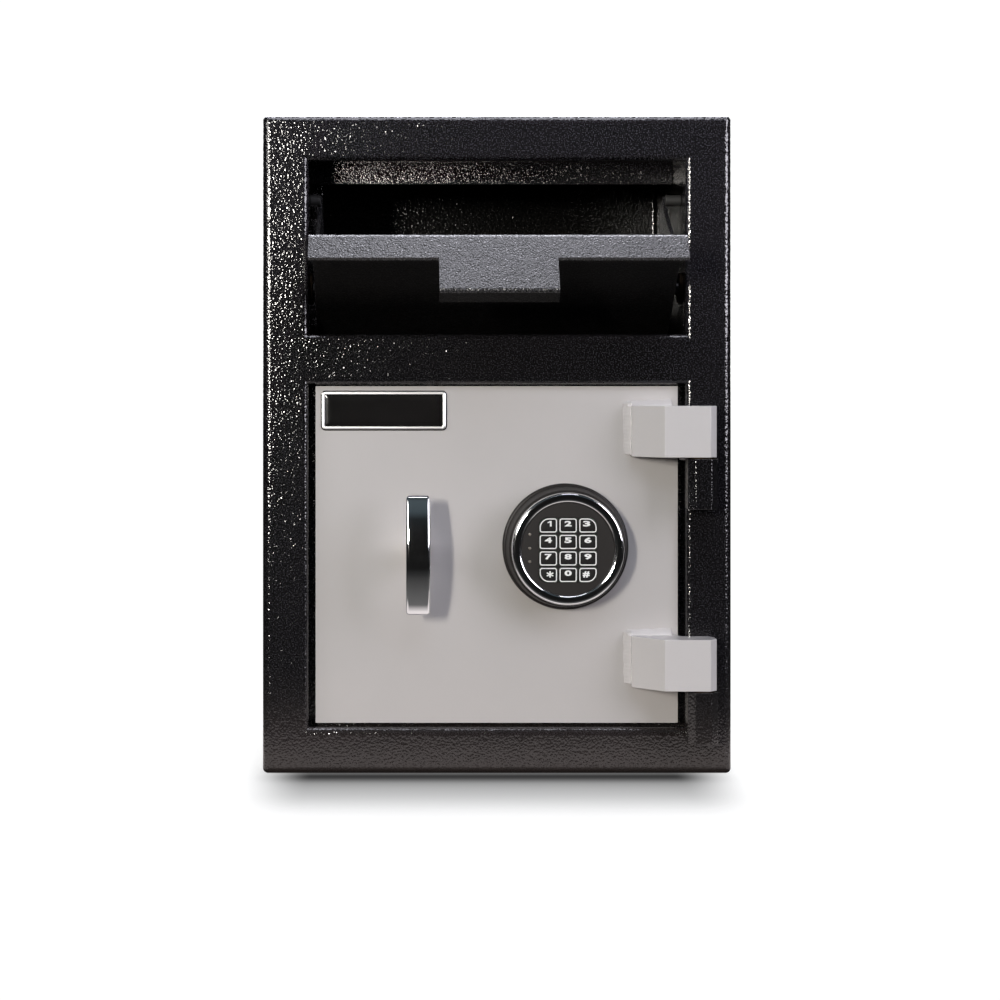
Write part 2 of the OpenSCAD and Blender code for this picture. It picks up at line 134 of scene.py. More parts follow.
# ---------------------------------------------------------------- finishes
def powder_coat(name, dark, light, rough, cell, lump, coat, coat_rough,
                painted_foot_glow=None, grain=0.00003, spec=0.5, fine=0.12, ior=1.5, fleck=None,
                flecks=800.0):
    """Hammered powder coat: glossy rounded lumps, crevices painted darker as shade, pale
    flecks, and, when given, a painted floor glow near the foot.
    """
    m, nt, b, co = blank(name, spec=spec)
    warp = N(nt, "TexNoise", {"Vector": co, "Scale": cell * 0.7, "Detail": 1.0})
    wv = N(nt, "VectorMath", {0: warp.outputs[1], 1: (0.5, 0.5, 0.5)},
           operation="SUBTRACT").outputs[0]
    ws = N(nt, "VectorMath", {0: wv, "Scale": 0.9 / cell},
           operation="SCALE").outputs[0]
    wc = N(nt, "VectorMath", {0: co, 1: ws}, operation="ADD").outputs[0]
    v = N(nt, "TexVoronoi", {"Vector": wc, "Scale": cell, "Smoothness": 0.45,
                             "Randomness": 1.0}, feature="SMOOTH_F1").outputs[0]
    n1 = noise(nt, co, cell * 0.42, 2.0, 0.5)
    n2 = noise(nt, co, cell * 2.1, 2.0, 0.55)
    big = noise(nt, co, 9.0, 2.0, 0.5)
    h = calc(nt, "MULTIPLY_ADD", v, -1.15, calc(nt, "MULTIPLY", n1, 0.55))
    bumped(nt, b, n2, grain, normal=bumped(nt, None, h, lump))
    nt.links.new(bumped(nt, None, calc(nt, "MULTIPLY_ADD", n2, fine, h), lump),
                 b.inputs["Coat Normal"])
    b.inputs["Coat Weight"].default_value = coat
    b.inputs["Coat Roughness"].default_value = coat_rough
    b.inputs["Coat IOR"].default_value = ior
    # the base colour darkens with the lump height into the crevices: painted shade
    f = spread(nt, h, -0.55, 0.15, 0.0, 1.0)
    c = mixed(nt, calc(nt, "POWER", f, 1.6), dark, light)
    c = mixed(nt, spread(nt, big, 0.35, 0.65, 0.0, 0.3), c, dark)
    if fleck:
        n3 = noise(nt, co, flecks, 1.0, 0.5)
        some = N(nt, "MapRange", {0: n3, 1: 0.44, 2: 0.70, 3: 0.0, 4: 1.0},
                 interpolation_type="SMOOTHSTEP").outputs[0]
        c = mixed(nt, some, c, fleck)
    # painted floor glow: the colour turns lighter and warmer towards the foot
    if painted_foot_glow:
        z = N(nt, "SeparateXYZ", {0: co}).outputs[2]
        low = N(nt, "MapRange", {0: z, 1: 0.085, 2: 0.0, 3: 0.0, 4: 1.0},
                interpolation_type="SMOOTHSTEP").outputs[0]
        patch = spread(nt, noise(nt, co, 60.0, 3.0, 0.6), 0.3, 0.7, 0.75, 1.0)
        c = mixed(nt, calc(nt, "MULTIPLY", low, patch), c, painted_foot_glow)
    nt.links.new(c, b.inputs["Base Color"])
    r = calc(nt, "MULTIPLY_ADD", n1, 0.16, rough - 0.08)
    nt.links.new(r, b.inputs["Roughness"])
    return m


def satin_paint(name, color, shade, rough, peel, lump, spec=0.5, wave=0.0):
    """Smooth sprayed enamel: orange peel, slow mottling and rubbed roughness."""
    m, nt, b, co = blank(name, spec=spec)
    n1 = noise(nt, co, peel, 2.0, 0.5)
    n2 = noise(nt, co, 14.0, 3.0, 0.55)
    n3 = noise(nt, co, 2600.0, 1.0, 0.5)
    h = calc(nt, "MULTIPLY_ADD", n3, 0.12, n1)
    if wave:
        n4 = noise(nt, co, 45.0, 1.0, 0.4)
        h = calc(nt, "MULTIPLY_ADD", n4, wave, h)
    bumped(nt, b, h, lump)
    f = spread(nt, n2, 0.3, 0.7, 0.0, 1.0)
    nt.links.new(mixed(nt, f, color, shade), b.inputs["Base Color"])
    r = calc(nt, "MULTIPLY_ADD", n2, 0.14, rough - 0.07)
    nt.links.new(r, b.inputs["Roughness"])
    return m


def metal(name, color, shade, rough, vary, scale=(1, 1, 1), grain=260.0,
          lump=0.00001, scratch=0.0):
    """Plated, turned or rolled metal, its grain drawn out along the large scale."""
    m, nt, b, co = blank(name, metallic=1.0)
    sc = stretched(nt, co, scale)
    n1 = noise(nt, sc, grain, 3.0, 0.6)
    n2 = noise(nt, co, 38.0, 3.0, 0.6)
    bumped(nt, b, n1, lump)
    nt.links.new(mixed(nt, spread(nt, n2, 0.35, 0.7, 0.0, 1.0), color, shade),
                 b.inputs["Base Color"])
    k = calc(nt, "MULTIPLY_ADD", n2, vary, rough - vary / 2)
    r = calc(nt, "MULTIPLY_ADD", n1, scratch, k, clamp=True)
    nt.links.new(r, b.inputs["Roughness"])
    return m


def plastic(name, color, shade, rough, grain, lump, spec=0.5):
    """Moulded plastic or rubber with a spark-eroded grain."""
    m, nt, b, co = blank(name, spec=spec)
    n1 = noise(nt, co, grain, 2.0, 0.6)
    n2 = noise(nt, co, 30.0, 2.0, 0.5)
    bumped(nt, b, n1, lump)
    nt.links.new(mixed(nt, n2, color, shade), b.inputs["Base Color"])
    r = calc(nt, "MULTIPLY_ADD", n1, 0.12, rough - 0.06)
    nt.links.new(r, b.inputs["Roughness"])
    return m


M = {}
# its foot colour is a painted glow from the floor
M["cabinet_paint"] = powder_coat("cabinet_paint", (0.0028, 0.0026, 0.0029),
                                 (0.0085, 0.0080, 0.0088), 0.50, 560.0, 0.00021,
                                 1.0, 0.10, painted_foot_glow=(0.026, 0.021, 0.020),
                                 spec=0.0, fine=0.19, ior=1.6,
                                 fleck=(0.026, 0.0245, 0.0275), flecks=1000.0)
M["bar_paint"] = powder_coat("bar_paint", (0.0028, 0.0026, 0.0029),
                             (0.0085, 0.0080, 0.0088), 0.50, 820.0, 0.00021,
                             1.0, 0.10, spec=0.0, fine=0.19, ior=1.6,
                             fleck=(0.023, 0.0217, 0.0240), flecks=1100.0)
# a darker, warm-tinted copy of the cabinet paint for the chamber's inside: painted shade
M["chamber_paint_shaded"] = powder_coat("chamber_paint_shaded", (0.0005, 0.0005, 0.0004),
                                 (0.0030, 0.0027, 0.0024), 0.50, 560.0, 0.00021,
                                 1.0, 0.14, spec=0.0, fine=0.15, ior=1.5,
                                 fleck=(0.0090, 0.0080, 0.0068), flecks=800.0)
M["hopper_paint"] = powder_coat("hopper_paint", (0.0010, 0.0010, 0.0011),
                                (0.0060, 0.0058, 0.0064), 0.45, 760.0, 0.00034,
                                1.0, 0.17, spec=0.15, fine=0.24, ior=1.5,
                                fleck=(0.075, 0.072, 0.080), flecks=950.0)
# a darker copy of the hopper paint with a weak coat, for faces turned down when the hopper
# hangs open: painted shade
M["hopper_paint_shaded"] = powder_coat("hopper_paint_shaded", (0.0006, 0.0006, 0.0006),
                                     (0.0030, 0.0028, 0.0030), 0.50, 800.0, 0.00020,
                                     0.20, 0.24, spec=0.04, fine=0.16, ior=1.45,
                                     fleck=(0.0090, 0.0084, 0.0088), flecks=950.0)
M["door_paint"] = satin_paint("door_paint", (0.545, 0.517, 0.515),
                              (0.522, 0.498, 0.497), 0.42, 620.0, 0.000035,
                              spec=0.38)
M["hinge_paint"] = satin_paint("hinge_paint", (0.640, 0.613, 0.620),
                               (0.616, 0.592, 0.599), 0.24, 380.0, 0.00005,
                               wave=1.6)
M["nameplate"] = satin_paint("nameplate", (0.006, 0.006, 0.006),
                             (0.011, 0.010, 0.010), 0.14, 900.0, 0.000006)
M["chrome_trim"] = metal("chrome_trim", (0.86, 0.87, 0.88), (0.80, 0.81, 0.83),
                         0.07, 0.06, lump=0.0000008, grain=500.0, scratch=0.03)
M["bright_steel"] = metal("bright_steel", (0.62, 0.62, 0.63), (0.50, 0.51, 0.52),
                          0.28, 0.14, (1, 1, 18), 300.0, 0.000006, 0.12)
M["raw_steel"] = metal("raw_steel", (0.33, 0.33, 0.34), (0.20, 0.20, 0.215),
                       0.44, 0.22, (1, 1, 1), 220.0, 0.00002, 0.12)
M["bronze"] = metal("bronze", (0.60, 0.42, 0.20), (0.46, 0.31, 0.14),
                    0.30, 0.16, (1, 14, 1), 260.0, 0.000008, 0.10)
M["oiled_bronze"] = metal("oiled_bronze", (0.030, 0.021, 0.014), (0.018, 0.013, 0.009),
                          0.60, 0.14, (1, 14, 1), 260.0, 0.00001, 0.08)
M["plate_trim"] = metal("plate_trim", (0.88, 0.88, 0.89), (0.82, 0.82, 0.84),
                        0.34, 0.08, (1, 1, 1), 500.0, 0.000002, 0.04)
M["lock_zinc"] = metal("lock_zinc", (0.50, 0.50, 0.51), (0.40, 0.40, 0.415),
                       0.46, 0.14, (1, 1, 1), 700.0, 0.00002, 0.16)
M["black_screw"] = metal("black_screw", (0.05, 0.05, 0.052), (0.03, 0.03, 0.032),
                         0.36, 0.14, (1, 1, 1), 500.0, 0.000008, 0.10)
M["bumper_rubber"] = plastic("bumper_rubber", (0.010, 0.010, 0.010),
                             (0.018, 0.017, 0.017), 0.72, 900.0, 0.00003)
M["keypad_black"] = plastic("keypad_black", (0.014, 0.012, 0.0115),
                            (0.020, 0.0172, 0.016), 0.46, 1500.0, 0.00002, 0.16)
M["keypad_face"] = plastic("keypad_face", (0.013, 0.011, 0.0105),
                           (0.017, 0.0145, 0.0138), 0.45, 2200.0, 0.000012, 0.3)
M["key_plastic"] = plastic("key_plastic", (0.010, 0.009, 0.009),
                           (0.014, 0.0125, 0.012), 0.36, 2000.0, 0.000014, 0.3)
M["legend"] = plastic("legend", (0.93, 0.93, 0.92), (0.86, 0.86, 0.85),
                      0.45, 1800.0, 0.000008)
M["led_lens"] = plastic("led_lens", (0.16, 0.14, 0.12), (0.22, 0.20, 0.17),
                        0.16, 900.0, 0.000004)
M["board_green"] = plastic("board_green", (0.012, 0.085, 0.030),
                           (0.018, 0.11, 0.045), 0.38, 700.0, 0.00001)
M["battery_case"] = plastic("battery_case", (0.020, 0.020, 0.022),
                            (0.030, 0.030, 0.033), 0.42, 1200.0, 0.00002)
M["cable_jacket"] = plastic("cable_jacket", (0.020, 0.020, 0.020),
                            (0.028, 0.028, 0.028), 0.5, 1400.0, 0.00001)
M["cover_paint"] = powder_coat("cover_paint", (0.035, 0.035, 0.038),
                               (0.065, 0.065, 0.070), 0.46, 900.0, 0.00009,
                               0.2, 0.3)

slot_of = {}
for n, o in nodes.items():
    kind = o.data.materials[0].name.split(".")[0]
    slot_of[n] = kind
    for s in o.material_slots:
        s.link = "OBJECT"
        s.material = M[kind]
FINISH = {"pivot_bushings": "oiled_bronze", "hinge_washers": "oiled_bronze",
          "hopper_pivot_pins": "black_screw", "chamber_back_plate": "chamber_paint_shaded",
          "chamber_left_wall": "chamber_paint_shaded", "chamber_right_wall": "chamber_paint_shaded",
          "chamber_crossbar": "bar_paint"}


# ---------------------------------------------------------------- mesh helpers
def made(name, bm, mats, body, replaces=(), sharp=35.0, weighted=True):
    bmesh.ops.recalc_face_normals(bm, faces=bm.faces)
    me = bpy.data.meshes.new(name)
    bm.to_mesh(me)
    bm.free()
    for p in me.polygons:
        p.use_smooth = True
    me.set_sharp_from_angle(angle=math.radians(sharp))
    for m in mats if isinstance(mats, (list, tuple)) else [mats]:
        me.materials.append(m)
    o = bpy.data.objects.new(name, me)
    scene.collection.objects.link(o)
    if weighted:
        w = o.modifiers.new("normals", "WEIGHTED_NORMAL")
        w.keep_sharp = True
    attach(o, body)
    if replaces:
        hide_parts(*replaces)
    return o


def refined(node, name, body, width=0.35, segs=2, angle=32.0, only=None):
    """The part's own shape with its sharp edges eased."""
    bm = bmesh.new()
    bm.from_mesh(nodes[node].data)
    for f in bm.faces:
        f.material_index = 0
    bmesh.ops.remove_doubles(bm, verts=bm.verts, dist=2e-6)
    bmesh.ops.dissolve_limit(bm, angle_limit=math.radians(0.5),
                             use_dissolve_boundaries=False,
                             verts=bm.verts, edges=bm.edges)
    lim = math.radians(angle)
    edges = []
    for e in bm.edges:
        if len(e.link_faces) == 2 and e.calc_face_angle() > lim:
            if only is None or only(e):
                edges.append(e)
    bmesh.ops.bevel(bm, geom=edges, offset=width * MM, offset_type="OFFSET",
                    segments=segs, profile=0.5, affect="EDGES",
                    clamp_overlap=True)
    if sum(f.calc_area() < 1e-12 for f in bm.faces) > 40:
        bmesh.ops.remove_doubles(bm, verts=bm.verts, dist=1e-6)
        bmesh.ops.dissolve_degenerate(bm, dist=1e-6, edges=bm.edges)
    return made(name, bm, M[FINISH.get(node, slot_of[node])], body,
                [node])


def loft(bm, rings, cap_start=True, cap_end=True, closed=False, mat=0):
    """Bridges closed rings of equal length, given as lists of points in metres."""
    vs = [[bm.verts.new(p) for p in r] for r in rings]
    faces = []
    pairs = list(zip(vs, vs[1:]))
    if closed:
        pairs.append((vs[-1], vs[0]))
    for a, b in pairs:
        k = len(a)
        for i in range(k):
            j = (i + 1) % k
            faces.append(bm.faces.new((a[i], a[j], b[j], b[i])))
    if cap_start and not closed:
        faces.append(bm.faces.new(list(reversed(vs[0]))))
    if cap_end and not closed:
        faces.append(bm.faces.new(vs[-1]))
    for f in faces:
        f.material_index = mat
    return faces


def spun(bm, profile, cx, cz, y0, n=160, mat=0, closed=True):
    """Turns (radius, height off the y0 plane towards the front) about the Y axis."""
    rings = []
    for i in range(n):
        a = 2 * math.pi * i / n
        rings.append([(cx + r * MM * math.cos(a), y0 - h * MM, cz + r * MM * math.sin(a))
                      for r, h in profile])
    vs = [[bm.verts.new(p) for p in r] for r in rings]
    k = len(profile)
    for i in range(n):
        a, b = vs[i], vs[(i + 1) % n]
        for j in range(k if closed else k - 1):
            q = (j + 1) % k
            f = bm.faces.new((a[j], a[q], b[q], b[j]))
            f.material_index = mat(j) if callable(mat) else mat


def solid_spun(bm, profile, cx, cz, y0, n=96, mat=0):
    """As spun, for a profile that starts and ends on the axis."""
    rings = []
    for r, h in profile:
        rings.append([(cx + r * MM * math.cos(2 * math.pi * i / n), y0 - h * MM,
                       cz + r * MM * math.sin(2 * math.pi * i / n))
                      for i in range(n)])
    loft(bm, rings, mat=mat)


def arc2(cx, cy, r, a0, a1, n):
    return [(cx + r * math.cos(math.radians(a0 + (a1 - a0) * i / n)),
             cy + r * math.sin(math.radians(a0 + (a1 - a0) * i / n)))
            for i in range(n + 1)]


def corner_rect(w, h, radii, inset=0.0, n=8):
    """Rounded rectangle about the origin; radii for +x+z, -x+z, -x-z, +x-z."""
    pts = []
    hw, hh = w / 2 - inset, h / 2 - inset
    for k, (sx, sz) in enumerate(((1, 1), (-1, 1), (-1, -1), (1, -1))):
        r = max(radii[k] - inset, 0.02)
        pts += arc2(sx * (hw - r), sz * (hh - r), r, 90 * k, 90 * k + 90, n)
    return pts


# ---------------------------------------------------------------- stage and light
def plane(name, half, z, mat):
    bm = bmesh.new()
    for x, y in ((-half, -half), (half, -half), (half, half), (-half, half)):
        bm.verts.new((x, y, z))
    bm.faces.new(bm.verts)
    me = bpy.data.meshes.new(name)
    bm.to_mesh(me)
    bm.free()
    me.materials.append(mat)
    o = bpy.data.objects.new(name, me)
    scene.collection.objects.link(o)
    return o


def footprint_distance(nt, co):
    """Distance on the floor from the cabinet's footprint."""
    sp = N(nt, "SeparateXYZ", {0: co})
    dx = calc(nt, "MAXIMUM", calc(nt, "SUBTRACT", calc(nt, "ABSOLUTE", sp.outputs[0]),
                                  0.179), 0.0)
    dy = calc(nt, "MAXIMUM", calc(nt, "SUBTRACT", calc(nt, "ABSOLUTE", sp.outputs[1]),
                                  0.178), 0.0)
    return calc(nt, "SQRT", calc(nt, "ADD", calc(nt, "MULTIPLY", dx, dx),
                                 calc(nt, "MULTIPLY", dy, dy)))


def stage_material(name):
    m = bpy.data.materials.new(name)
    m.use_nodes = True
    nt = m.node_tree
    nt.nodes.clear()
    out = nt.nodes.new("ShaderNodeOutputMaterial")
    co = nt.nodes.new("ShaderNodeTexCoord").outputs["Object"]
    return m, nt, out, co


# what the camera sees: white paper with a painted soft contact shadow where it meets the
# cabinet
m, nt, out, co = stage_material("floor_white")
sp = N(nt, "SeparateXYZ", {0: co})
front = calc(nt, "SUBTRACT", calc(nt, "MULTIPLY", sp.outputs[1], -1.0), 0.178)
side = calc(nt, "SUBTRACT", calc(nt, "ABSOLUTE", calc(nt, "ADD", sp.outputs[0],
                                                      0.0035)), 0.179)
ramp = N(nt, "ValToRGB", {0: spread(nt, front, -0.40, 0.20, 0.0, 1.0)})
cr = ramp.color_ramp
cr.interpolation = "B_SPLINE"
stops = [(-0.40, 0.45), (-0.30, 0.42), (-0.20, 0.42), (-0.10, 0.45), (-0.03, 0.62),
         (0.0, 0.97), (0.012, 0.97), (0.022, 0.875), (0.034, 0.70), (0.05, 0.605),
         (0.065, 0.545), (0.085, 0.455), (0.105, 0.325), (0.125, 0.19),
         (0.145, 0.09), (0.17, 0.02), (0.19, 0.0)]
while len(cr.elements) < len(stops):
    cr.elements.new(0.5)
for e, (d, v) in zip(cr.elements, stops):
    e.position = (d + 0.40) / 0.60
    e.color = (v, v, v, 1.0)
across = N(nt, "MapRange", {0: side, 1: -0.042, 2: 0.019, 3: 1.0, 4: 0.0},
           interpolation_type="SMOOTHSTEP").outputs[0]
back = N(nt, "MapRange", {0: front, 1: -0.385, 2: -0.352, 3: 0.0, 4: 1.0},
         interpolation_type="SMOOTHSTEP").outputs[0]
# painted shadow: how much the paper darkens round the cabinet's foot, fading to the sides
# and behind
dark = calc(nt, "MULTIPLY", calc(nt, "MULTIPLY", ramp.outputs[0], across), back)
lit = calc(nt, "SUBTRACT", 1.0, dark)
glow = calc(nt, "MULTIPLY", lit, 0.92)
tone = calc(nt, "MULTIPLY", lit, 0.30)
col = N(nt, "CombineColor", {0: tone, 1: tone, 2: tone}).outputs[0]
dif = N(nt, "BsdfDiffuse", {"Color": col}).outputs[0]
em = N(nt, "Emission", {"Color": (1, 1, 1, 1), "Strength": glow}).outputs[0]
add = N(nt, "AddShader", {0: dif, 1: em}).outputs[0]
far = N(nt, "Emission", {"Color": (1, 1, 1, 1), "Strength": 1.05}).outputs[0]
d = footprint_distance(nt, co)
f = N(nt, "MapRange", {0: d, 1: 0.16, 2: 0.45, 3: 0.0, 4: 1.0},
      interpolation_type="SMOOTHSTEP").outputs[0]
mx = N(nt, "MixShader", {0: f})
nt.links.new(add, mx.inputs[1])
nt.links.new(far, mx.inputs[2])
nt.links.new(mx.outputs[0], out.inputs[0])
seen = plane("floor", 20.0, -0.0002, m)
seen.visible_diffuse = False
seen.visible_glossy = False
seen.visible_transmission = False
seen.visible_volume_scatter = False
seen.visible_shadow = False

# what the object is lit by: bright paper close to it in a dark room
def bounce_plane(name, stops, z, diffuse):
    m, nt, out, co = stage_material(name)
    m.cycles.emission_sampling = "NONE"
    d = footprint_distance(nt, co)
    ramp = N(nt, "ValToRGB", {0: spread(nt, d, 0.0, 0.6, 0.0, 1.0)})
    cr = ramp.color_ramp
    while len(cr.elements) < len(stops):
        cr.elements.new(0.5)
    for e, (q, v) in zip(cr.elements, stops):
        e.position = q / 0.6
        e.color = (*v, 1.0)
    em = N(nt, "Emission", {"Color": ramp.outputs[0], "Strength": 1.0}).outputs[0]
    nt.links.new(em, out.inputs[0])
    o = plane(name, 3.0, z, m)
    o.visible_camera = False
    if diffuse:
        o.visible_glossy = False
    else:
        o.visible_diffuse = False
        o.visible_shadow = False
    return o


bounce_plane("floor_bounce",
             [(0.0, (0.19, 0.16, 0.15)), (0.07, (0.28, 0.245, 0.235)),
              (0.105, (0.21, 0.185, 0.18)), (0.135, (0.06, 0.054, 0.054)),
              (0.25, (0.03, 0.028, 0.028)), (0.42, (0.02, 0.02, 0.02)),
              (0.58, (0.008, 0.008, 0.008))], -0.0004, True)
bounce_plane("floor_sheen",
             [(0.0, (0.02, 0.018, 0.018)), (0.008, (0.25, 0.23, 0.22)),
              (0.022, (0.82, 0.75, 0.73)), (0.07, (0.93, 0.85, 0.84)),
              (0.105, (0.90, 0.83, 0.82)), (0.135, (0.14, 0.137, 0.135)),
              (0.25, (0.085, 0.083, 0.082)), (0.42, (0.03, 0.03, 0.03)),
              (0.58, (0.008, 0.008, 0.008))], -0.0003, False)

bm = bmesh.new()
bmesh.ops.create_uvsphere(bm, u_segments=48, v_segments=24, radius=15.0)
me = bpy.data.meshes.new("backdrop")
bm.to_mesh(me)
bm.free()
m, nt, out, co = stage_material("backdrop_white")
em = N(nt, "Emission", {"Color": (1, 1, 1, 1), "Strength": 1.05}).outputs[0]
nt.links.new(em, out.inputs[0])
me.materials.append(m)
dome = bpy.data.objects.new("backdrop", me)
scene.collection.objects.link(dome)
dome.visible_diffuse = False
dome.visible_glossy = False
dome.visible_transmission = False
dome.visible_volume_scatter = False
dome.visible_shadow = False

world = bpy.data.worlds.new("studio")
scene.world = world
world.use_nodes = True
wn = world.node_tree
wn.nodes.clear()
wout = wn.nodes.new("ShaderNodeOutputWorld")
wz = N(wn, "SeparateXYZ", {0: wn.nodes.new("ShaderNodeTexCoord").outputs["Generated"]})
wr = N(wn, "ValToRGB", {0: spread(wn, wz.outputs[2], -1.0, 1.0, 0.0, 1.0)})
stops = [(-1.0, (0.006, 0.006, 0.006)), (0.0, (0.005, 0.005, 0.005)),
         (0.30, (0.006, 0.006, 0.007)), (0.50, (0.012, 0.015, 0.017)),
         (0.60, (0.055, 0.072, 0.082)), (0.74, (0.07, 0.09, 0.10)),
         (0.80, (0.03, 0.035, 0.04)), (1.0, (0.02, 0.02, 0.022))]
while len(wr.color_ramp.elements) < len(stops):
    wr.color_ramp.elements.new(0.5)
for e, (q, v) in zip(wr.color_ramp.elements, stops):
    e.position = (q + 1.0) / 2.0
    e.color = (*v, 1.0)
wbg = N(wn, "Background", {"Color": wr.outputs[0], "Strength": 1.0})
wn.links.new(wbg.outputs[0], wout.inputs[0])


def area(name, loc, target, size, radiance, color, size_y=None, only=None):
    """A softbox of a given brightness; only is "shade" or "sheen", for one that is
    flagged away from mirror-like faces or from matt ones."""
    d = bpy.data.lights.new(name, "AREA")
    d.color = color
    d.size = size
    d.energy = radiance * math.pi * size * (size_y or size)
    if size_y:
        d.shape = "RECTANGLE"
        d.size_y = size_y
    o = bpy.data.objects.new(name, d)
    o.location = loc
    v = Vector(target) - Vector(loc)
    o.rotation_euler = v.to_track_quat("-Z", "Y").to_euler()
    o.visible_camera = False
    if only == "shade":
        o.visible_glossy = False
    if only == "sheen":
        o.visible_diffuse = False
    scene.collection.objects.link(o)
    return o


area("key", (-1.53, -3.70, 0.86), (0, -0.18, 0.25), 0.26, 133.0,
     (1.0, 0.965, 0.86), 0.70, "shade")
area("front_top", (0.15, -1.15, 1.15), (0.0, -0.18, 0.22), 0.90, 2.45,
     (0.78, 0.87, 1.0), 0.60, "shade")
area("right_fill", (1.95, -1.60, 1.02), (0.1, -0.15, 0.30), 1.0, 5.4,
     (0.93, 0.92, 1.0), 1.7, "shade")
area("left_box", (-1.85, -0.95, 0.75), (-0.1, -0.2, 0.33), 0.46, 6.8,
     (0.96, 0.96, 1.0), 0.78, "shade")
area("overhead_sheen", (0.0, -0.48, 1.40), (0.0, -0.42, 0.2), 0.80, 5.1,
     (0.91, 0.91, 1.0), 0.55, "sheen")
area("rear_overhead_sheen", (0.0, 0.62, 1.35), (0.0, -0.17, 0.50), 1.3, 17.0,
     (0.91, 0.91, 1.0), 1.0, "sheen")
right_sheen = area("right_sheen", (1.60, -1.30, 0.95), (0.1, -0.15, 0.30), 0.8, 11.5,
                   (0.94, 0.91, 1.0), 1.4, "sheen")
left_sheen = area("left_sheen", (-1.25, -1.10, 0.95), (-0.16, -0.18, 0.40), 0.60, 8.0,
                  (1.0, 0.97, 0.94), 0.66, "sheen")
front_left = area("front_left_sheen", (-0.95, -1.90, 0.65), (-0.16, -0.18, 0.40), 0.44, 98.0,
                  (1.0, 0.96, 0.89), 0.42, "sheen")
rear = area("rear_wall", (0.0, 2.3, 1.3), (0.0, 0.2, 0.35), 4.0, 2.2,
            (1.0, 1.0, 1.0), 2.2)
# these leave the wrap alone, whose top would mirror them at a low angle
not_wrap = bpy.data.collections.new("all_but_the_wrap")
not_wrap.objects.link(nodes["body_shell"])
not_wrap.collection_objects[0].light_linking.link_state = "EXCLUDE"
for o in (right_sheen, left_sheen, front_left, rear):
    o.light_linking.receiver_collection = not_wrap
# a low spot that reaches under the mouth's top edge, for the bar inside alone
bar_light = area("bar_spot", (-0.62, -1.60, 0.32), (0.0, -0.10, 0.47), 0.40, 56.0,
                 (1.0, 0.94, 0.87), 0.26)
# a high card close above, which greys the front sheet's upper rail alone
card = area("top_card", (0.10, -0.42, 0.86), (0.06, -0.178, 0.48), 0.50, 12.0,
            (0.88, 0.86, 1.0), 0.25, "shade")

# ---------------------------------------------------------------- cabinet
def front_sheet():
    """The front frame as one pressed sheet: bent rim, flat face, bent openings."""
    hw, top, t, yf, rim, lip = 179.0, 503.0, 3.2, -178.0, 6.2, 4.2
    # bottom, top, back of the bent edge, and how far its lower edge turns up
    mouths = ((33.2, 297.4, -156.5, 2.2), (335.5, 468.0, -164.0, 0.0))

    def lines(o):
        zs = []
        for z0, z1, _, _ in mouths:
            zs += [z0 - o, z1 + o]
        return [-144.0 - o, 144.0 + o], zs

    def around(inset, y, corner, o):
        xs, zs = lines(o)
        x1, z0, z1 = hw - inset, inset, top - inset
        c = max(corner, 0.01)
        pts = []
        for k, (sx, z) in enumerate(((1, z1 - c), (-1, z1 - c), (-1, z0 + c),
                                     (1, z0 + c))):
            pts += arc2(sx * (x1 - c), z, c, 90 * k, 90 * k + 90, 7)
            pts += [[(x, z1) for x in reversed(xs)], [(-x1, q) for q in reversed(zs)],
                    [(x, z0) for x in xs], [(x1, q) for q in zs]][k]
        return [(x * MM, y * MM, z * MM) for x, z in pts]

    def grid(bm, inset, y, o):
        xs, zs = lines(o)
        xs = [inset - hw] + xs + [hw - inset]
        zs = [inset] + zs + [top - inset]
        v = [[bm.verts.new((x * MM, y * MM, z * MM)) for z in zs] for x in xs]
        for i in range(3):
            for j in range(5):
                if i != 1 or j not in (1, 3):
                    bm.faces.new((v[i][j], v[i + 1][j], v[i + 1][j + 1], v[i][j + 1]))

    bm = bmesh.new()
    rings = [around(t, yf + t, 0, t), around(t, yf + 10, 0.8, t),
             around(0, yf + 10, 4.0, t)]
    for q in range(13):
        a = math.radians(90 * q / 12)
        i = rim * (1 - math.cos(a))
        rings.append(around(i, yf + rim * (1 - math.sin(a)), 4.0 - i, lip))
    loft(bm, rings, cap_start=False, cap_end=False)
    grid(bm, rim, yf, lip)
    grid(bm, t, yf + t, t)
    for z0, z1, end, turn in mouths:
        def square(o, y, up=0.0, z0=z0, z1=z1):
            return [(x * MM, y * MM, z * MM) for x, z in
                    ((144 + o, z1 + o), (-144 - o, z1 + o), (-144 - o, z0 - o + up),
                     (144 + o, z0 - o + up))]
        rings = [square(lip * (1 - math.sin(math.radians(9 * q))),
                        yf + lip * (1 - math.cos(math.radians(9 * q))),
                        turn * math.sin(math.radians(9 * q)))
                 for q in range(11)]
        rings.append(square(0, -170.5, turn))
        rings += [square(0, end - 0.4), square(0.4, end), square(t - 0.4, end),
                  square(t, end - 0.4), square(t, yf + t)]
        loft(bm, rings, cap_start=False, cap_end=False)
    bmesh.ops.remove_doubles(bm, verts=bm.verts, dist=4e-5)
    o = made("pressed_front_frame", bm, M["cabinet_paint"], "cabinet",
             ["front_frame"], sharp=40)
    # the mitres at the openings' corners are creases, the long bends stay straight
    v = o.data.vertices
    for e in o.data.edges:
        d = v[e.vertices[0]].co - v[e.vertices[1]].co
        if max(abs(v[k].co.x) for k in e.vertices) < 0.1485 and abs(d.x) > 1e-6 \
                and abs(d.z) > 1e-6:
            e.use_edge_sharp = True
    return o


only_front = bpy.data.collections.new("lit_by_top_card")
only_front.objects.link(front_sheet())
card.light_linking.receiver_collection = only_front
refined("back_panel", "rear_panel", "cabinet", 0.3)
refined("door_jamb", "door_stop_ring", "cabinet", 0.6, 3)
refined("chamber_left_wall", "chamber_wall_left", "cabinet", 0.3)
refined("chamber_right_wall", "chamber_wall_right", "cabinet", 0.3)
refined("chamber_back_plate", "chamber_rear_plate", "cabinet", 0.3)


